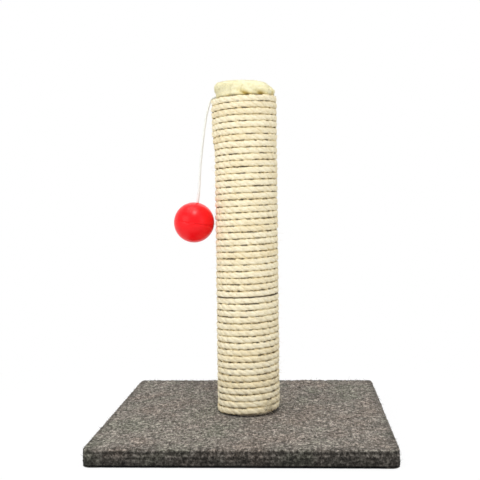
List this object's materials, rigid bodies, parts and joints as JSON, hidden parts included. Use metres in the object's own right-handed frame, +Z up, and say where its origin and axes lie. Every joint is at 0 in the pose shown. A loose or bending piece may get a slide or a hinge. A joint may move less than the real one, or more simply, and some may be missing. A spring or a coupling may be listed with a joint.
{
  "type": "cat scratching post",
  "caption": "Cat scratching post: rope-wound upright on a carpeted square base, plush cap, and a ball hanging on an elastic string.",
  "frame": {"origin": "on the floor, at the middle of the square base", "axes": "+Z up along the post, -Y towards the front, the ball hangs on the -X side"},
  "size_m": [0.3, 0.3, 0.3817],
  "materials": {
    "board": "raw particle board and wood",
    "carpet": "heathered short carpet",
    "steel": "zinc plated",
    "cardboard": "plain",
    "sisal": "twisted sisal",
    "wadding": "loose fibre",
    "plush": "soft short pile",
    "string": "covered elastic",
    "red_shell": "satin"
  },
  "bodies": {
    "stand": {"base_board": "board", "base_carpet": "carpet", "corner_tucks": "carpet", "hem_staples": "steel", "base_bolt": "steel", "bolt_washer": "steel", "tee_nut": "steel", "bottom_plug": "board", "post_tube": "cardboard", "top_plug": "board", "plug_pins": "steel", "rope_lower": "sisal", "rope_middle": "sisal", "rope_upper": "sisal", "rope_staples": "steel", "top_wadding": "wadding", "plush_cap": "plush", "plush_staples": "steel", "string_tail": "string", "string_staple": "steel"},
    "string_turn": {"string_bend": "string"},
    "string": {"hang_string": "string"},
    "knot": {"end_knot": "string"},
    "ball": {"ball_upper": "red_shell", "ball_lower": "red_shell"}
  },
  "joints": [
    {"name": "string_swing_out", "type": "hinge", "parent": "stand", "child": "string_turn", "pos_m": [-0.03902, 0, 0.36308], "axis": [0, 1, 0], "range_deg": [0, 90]},
    {"name": "string_swing_side", "type": "hinge", "parent": "string_turn", "child": "string", "pos_m": [-0.03902, 0, 0.36308], "axis": [1, 0, 0], "range_deg": [-80, 80]},
    {"name": "string_stretch", "type": "slide", "parent": "string", "child": "knot", "axis": [-0.1736, 0, -0.9848], "range_m": [0, 0.06], "stiffness_N_per_m": 25, "springref_m": -0.008, "deforming": ["hang_string"]},
    {"name": "ball_spin", "type": "hinge", "parent": "knot", "child": "ball", "pos_m": [-0.0589, 0, 0.22718], "axis": [0.1736, 0, 0.9848], "continuous": true}
  ]
}
